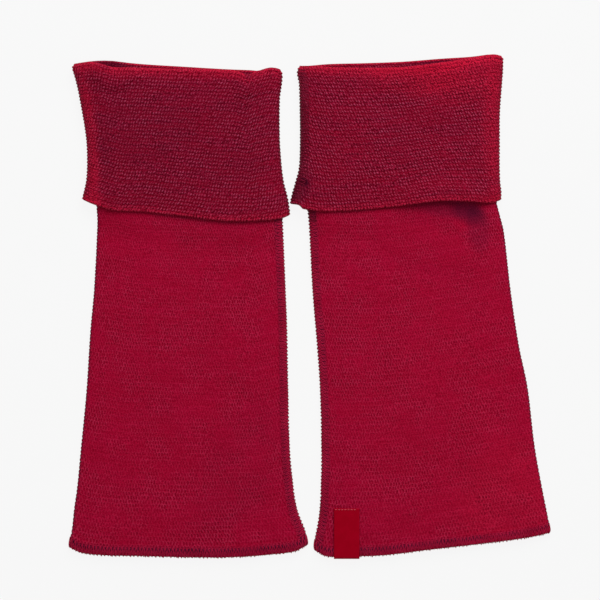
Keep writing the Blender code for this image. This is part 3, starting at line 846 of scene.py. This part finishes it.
def thread_points(warmer, on_leg, along, wale, depth, reach=0.0):
    """Middle line of a thread on the cloth. Under the tube it's sunk in, clear of the table."""
    station = station_at(wale)
    sunk = (THREAD_RADIUS + ON_FRONT) * np.maximum(-station.up, 0.0)
    outer = LEG_OUTER if on_leg else CUFF_OUTER
    ply = Ply(np.array(on_leg), along, outer + ON_FRONT - depth - sunk, reach, depth < 0.5)
    return cloth_points(warmer, ply, station) + (*warmer.place, 0.0)


def stitch_steps(pattern, count):
    """Repeat a stitch's pattern: place along the edge in stitches, share of the band, depth."""
    stitch, step = np.divmod(np.arange(count * len(pattern)), len(pattern))
    place, share, depth = np.array(pattern)[step].T
    wobble = np.random.default_rng(count).uniform(-1.0, 1.0, (count, 2))[stitch].T
    return stitch + place + WOBBLE_ALONG * wobble[0], share + WOBBLE_ACROSS * wobble[1], depth


def hem_thread(warmer, pattern):
    """A thread round the whole hem."""
    count = round(2 * (warmer.leg[0].right - warmer.leg[0].left) / STITCH)
    place, share, depth = stitch_steps(pattern, count)
    above = share * NEEDLE_LINE
    along = np.maximum(above, 0.0) / LEG_LENGTH
    return thread_points(warmer, True, along, place * WALES_ROUND / count, depth,
                         np.minimum(above, 0.0))


def seam_thread(warmer, pattern, on_leg, low, high, wales):
    """A thread along the seam, between two shares of its length and so many wales wide."""
    length = LEG_LENGTH if on_leg else CUFF_LENGTH
    count = round(abs(high - low) * length / STITCH)
    place, share, depth = stitch_steps(pattern, count)
    turned = depth > MIDDLE + 0.2          # on the far side of the cloth
    from_edge = np.where(turned, -share * SEAM_BEHIND, share) * wales
    wale = FRONT_WALES + EDGE_WALES / 2 - from_edge
    if warmer.seam_side == 0.0:
        wale = FRONT_WALES - wale
    along = mix(low, high, place / count)
    depth = np.where(turned, 0.0, depth * SEAM_SINK) - np.where(share < 0.0, SEAM_KNOB, 0.0)
    return thread_points(warmer, on_leg, along, wale, depth)


# %% Wind the threads
def thread_mesh(name, paths):
    curve_data = bpy.data.curves.new(name, "CURVE")
    curve_data.dimensions = "3D"
    curve_data.bevel_depth = THREAD_RADIUS * MM
    curve_data.bevel_resolution = 1
    curve_data.use_fill_caps = True
    for points, closed, thickness in paths:
        line = curve_data.splines.new("POLY")
        line.points.add(len(points) - 1)
        line.points.foreach_set("co", np.insert(points * MM, 3, 1.0, axis=1).ravel())
        line.points.foreach_set("radius", np.full(len(points), thickness))
        line.use_cyclic_u = closed
    holder = bpy.data.objects.new(name, curve_data)
    mesh = bpy.data.meshes.new_from_object(holder)
    bpy.data.objects.remove(holder)
    bpy.data.curves.remove(curve_data)
    mesh.name = name
    mesh.shade_smooth()
    print(name, len(mesh.polygons), "faces")
    return mesh


LEG_BAND = 3.0             # how wide the stitching is at the seam, in wales
CUFF_BAND = {"left_warmer": 0.9, "right_warmer": 2.6}
LEG_SEAM, CUFF_SEAM = (0.02, 0.76), (0.01, 0.985)      # where it starts and ends along each part
FINE = 0.7                 # the cuff shows the seam's inner side, where the thread lies flatter


def overlock_mesh(warmer):
    paths = []
    for pattern in (WINDING, CROSSING):
        paths += [(hem_thread(warmer, pattern), True, 1.0),
                  (seam_thread(warmer, pattern, True, *LEG_SEAM, LEG_BAND), False, 1.0),
                  (seam_thread(warmer, pattern, False, *CUFF_SEAM, CUFF_BAND[warmer.name]),
                   False, FINE)]
    return thread_mesh(warmer.name + "_overlock", paths)


# %% Finish of the sewing thread
CUFF_START = (LEFT.cuff_edge[5].height + LEFT.place[1]) * MM


def thread_finish():
    """Thread is smoother than wool: fine twisted strands with a slight gloss."""
    finish = Finish("crimson_thread", 0.62, sheen=0.05, specular=0.4)
    strands = finish.noise(1900.0)
    broad = finish.noise(60.0)
    share = finish.fade(strands, 0.3, 0.7) * 0.6 + finish.fade(broad, 0.3, 0.7) * 0.4
    light = finish.blend(share, (0.24, 0.0022, 0.021, 1), (0.44, 0.011, 0.056, 1))
    # On the cuff the threads take a darker colour: painted shade along the cuff's seam edge
    shaded_thread = finish.blend(share, (0.09, 0.0015, 0.01, 1), (0.24, 0.012, 0.04, 1))
    _, y, _ = finish.parts(finish.place)
    finish.colour(finish.blend(finish.fade(y, CUFF_START - 2 * MM, CUFF_START), light, shaded_thread))
    finish.emboss(strands, 0.1, 0.6)
    return finish.material


THREAD = thread_finish()
left_overlock = add_piece("left_warmer_overlock", overlock_mesh(LEFT), THREAD)
right_overlock = add_piece("right_warmer_overlock", overlock_mesh(RIGHT), THREAD)

# %% [markdown]
# ## The label
#
# A bare strip of satin tape is folded over the hem, with one leaf on the front and one inside
# the tube. A row of stitches holds its top. It follows the cloth that it lies on.

# %% Shape of the label
LABEL_WIDTH, LABEL_LENGTH, LABEL_THICKNESS = 19.6, 39.0, 0.6
LABEL_MIDDLE_X, LABEL_FOLD_HEIGHT = -65.6, -0.7
LABEL_TOP_HEIGHT = LABEL_FOLD_HEIGHT + LABEL_LENGTH
LABEL_GAP, LABEL_STAND_OFF, LABEL_TURN = 0.3, 0.5, 1.6
LABEL_ROWS, LABEL_COLUMNS, LABEL_TURN_STEPS = 40, 24, 12
SELVEDGE_DRAW = 0.006      # a woven edge draws in a little, unevenly


def leg_front_z(warmer, x, height, depth):
    """Height above the table of the leg's front, at one face of its cloth, below the cuff."""
    on_leg = np.ones(np.shape(x), dtype=bool)
    left = edge_at(warmer, "left", height, on_leg)
    right = edge_at(warmer, "right", height, on_leg)
    return LEG_OUTER + depth + front_lift(warmer, on_leg, x, height, left, right)


def label_path():
    """The label's middle line as height and side: 1 on the outer leaf, -1 on the inner leaf."""
    low = LABEL_FOLD_HEIGHT + LABEL_THICKNESS / 2 + LABEL_TURN
    heights = np.linspace(LABEL_TOP_HEIGHT, low, LABEL_ROWS + 1)
    turn = np.linspace(0.0, math.pi, LABEL_TURN_STEPS + 1)[1:-1]
    height = np.concatenate([heights, low - LABEL_TURN * np.sin(turn), heights[::-1]])
    side = np.concatenate([np.ones(LABEL_ROWS + 1), np.cos(turn), -np.ones(LABEL_ROWS + 1)])
    return height, side


def label_points(warmer, across, height, side, proud=0.0):
    x = LABEL_MIDDLE_X + (across - 0.5) * LABEL_WIDTH
    stand_off = LABEL_GAP + LABEL_THICKNESS / 2
    outer = leg_front_z(warmer, x, height, LEG_OUTER) + LABEL_STAND_OFF + stand_off + proud
    inner = leg_front_z(warmer, x, height, LEG_INNER) - stand_off
    points = np.stack([x, height, mix(inner, outer, (1.0 + side) / 2)], axis=-1)
    return points + (*warmer.place, 0.0)


def label_mesh(warmer):
    height, side = label_path()
    steps = len(height) - 1
    shape = bmesh.new()
    bmesh.ops.create_grid(shape, x_segments=LABEL_COLUMNS, y_segments=steps, size=0.5)
    for vertex in shape.verts:
        row = round((0.5 - vertex.co.y) * steps)
        draw = 1.0 + SELVEDGE_DRAW * math.sin(height[row] * 1.7) * abs(2.0 * vertex.co.x)
        place = label_points(warmer, vertex.co.x * draw + 0.5, height[row], side[row])
        vertex.co = Vector(place * MM)
    bmesh.ops.recalc_face_normals(shape, faces=shape.faces)
    return smooth_mesh(shape, "label_tape")


# %% Finish of the tape
def tape_finish():
    """Satin tape: fine threads across, and a soft gloss."""
    finish = Finish("crimson_tape", 0.5, specular=0.2, gloss_tint=(1.0, 0.02, 0.06, 1.0))
    x, y, _ = finish.parts(finish.place)
    weft = finish.maths("SINE", y * (2 * math.pi / (0.5 * MM)))
    warp = finish.maths("SINE", x * (2 * math.pi / (0.35 * MM)))
    share = finish.fade(finish.noise(160.0), 0.3, 0.7) * 0.5 + weft * 0.1 + warp * 0.1 + 0.25
    finish.colour(finish.blend(share, (0.31, 0.0003, 0.009, 1), (0.37, 0.0004, 0.013, 1)))
    finish.emboss(weft + warp, 0.03, 0.5)
    return finish.material


label = add_piece("label_tape", label_mesh(RIGHT), tape_finish())
thickness = label.modifiers.new("thickness", "SOLIDIFY")
thickness.thickness = LABEL_THICKNESS * MM
thickness.offset = 0.0
print("label", len(label.data.polygons), "faces before it gets its thickness")

# %% Stitches that hold the label's turned top
TACK_LENGTH, TACK_PITCH, TACK_RADIUS = 1.9, 2.4, 0.24
TACK_HEIGHT = LABEL_TOP_HEIGHT - 0.9


def tack_mesh(warmer):
    shape = bmesh.new()
    for middle in np.arange(-0.42 * LABEL_WIDTH, 0.43 * LABEL_WIDTH, TACK_PITCH):
        ball = bmesh.ops.create_uvsphere(shape, u_segments=8, v_segments=6, radius=1.0)["verts"]
        across = 0.5 + middle / LABEL_WIDTH
        place = label_points(warmer, across, TACK_HEIGHT, 1.0, LABEL_THICKNESS / 2)
        bmesh.ops.scale(shape, vec=Vector((TACK_LENGTH / 2, TACK_RADIUS, TACK_RADIUS)) * MM,
                        verts=ball)
        bmesh.ops.translate(shape, vec=Vector(place * MM), verts=ball)
    return smooth_mesh(shape, "label_stitches")


def tack_finish():
    finish = Finish("pale_red_thread", 0.6, specular=0.4)
    finish.colour(finish.blend(finish.noise(2500.0), (0.5, 0.06, 0.09, 1), (0.7, 0.13, 0.17, 1)))
    return finish.material


label_stitches = add_piece("label_stitches", tack_mesh(RIGHT), tack_finish())
print("label stitches", len(label_stitches.data.polygons), "faces")

# %% [markdown]
# ## Table, light and camera
#
# The warmers lie on a white table and are seen from straight above. Light falls from all round.
# One large soft lamp, up and to the right, leaves the shade under the lower edges of the cuffs;
# under the right cuff, painted shade on the leg deepens it.
# The camera is two metres up, so that it hardly sees the sides.

# %% White table
FLOOR_SIZE, FLOOR_DROP = 4.0, 0.1 * MM     # the drop keeps the table clear of the cloth


def floor_piece():
    shape = bmesh.new()
    bmesh.ops.create_grid(shape, x_segments=4, y_segments=4, size=FLOOR_SIZE / 2)
    bmesh.ops.translate(shape, vec=(0.0, 0.0, -FLOOR_DROP), verts=shape.verts)
    mesh = bpy.data.meshes.new("floor")
    shape.to_mesh(mesh)
    shape.free()
    finish = Finish("white_table", 0.9, specular=0.0)
    finish.colour(finish.blend(finish.noise(30.0, 3.0), (0.047, 0.047, 0.047, 1),
                               (0.053, 0.053, 0.053, 1)))
    finish.shader.inputs["Emission Color"].default_value = (1, 1, 1, 1)
    finish.shader.inputs["Emission Strength"].default_value = 0.893
    return add_piece("floor", mesh, finish.material)


floor = floor_piece()

# %% Soft light
world = bpy.data.worlds.new("studio")
world.use_nodes = True
sky = world.node_tree.nodes["Background"].inputs
sky["Color"].default_value = (1, 1, 1, 1)
sky["Strength"].default_value = 0.4
bpy.context.scene.world = world

lamp_data = bpy.data.lights.new("soft_lamp", "AREA")
lamp_data.shape = "DISK"
lamp_data.size = 1.3
lamp_data.energy = 26.0
lamp = add_object("soft_lamp", lamp_data)
lamp.location = (0.35, 1.3, 1.1)
lamp.rotation_euler = (-lamp.location).to_track_quat("-Z", "Y").to_euler()

# %% Camera straight above
FRAME_WIDTH = 0.4615       # what the photograph's frame spans, in metres
CAMERA_HEIGHT = 2.0
SUBJECT_HEIGHT = 0.005

camera_data = bpy.data.cameras.new("camera")
camera_data.sensor_width = 36.0
camera_data.lens = camera_data.sensor_width * CAMERA_HEIGHT / FRAME_WIDTH
camera = add_object("camera", camera_data)
camera.location = (-0.00728, 0.00496, CAMERA_HEIGHT + SUBJECT_HEIGHT)
bpy.context.scene.camera = camera
bpy.context.scene.view_settings.view_transform = "Standard"
print("lens", round(camera_data.lens, 1), "mm")

# %% [markdown]
# ## Every piece on the body
#
# Every piece rides on the object's one body. A cloth stands for the plain solid whose form it
# has, and that solid is hidden. Laid out flat, a tube would be as wide as both its layers, and as
# long as the leg and the turned cuff together.

# %% Attach every piece to the body and hide its solid
for cloth, overlock, node in ((left_cloth, left_overlock, "left_warmer"),
                              (right_cloth, right_overlock, "right_warmer")):
    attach(cloth, "root")
    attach(overlock, "root")
    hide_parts(node)
for piece in (label, label_stitches):
    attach(piece, "root")
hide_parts("label")
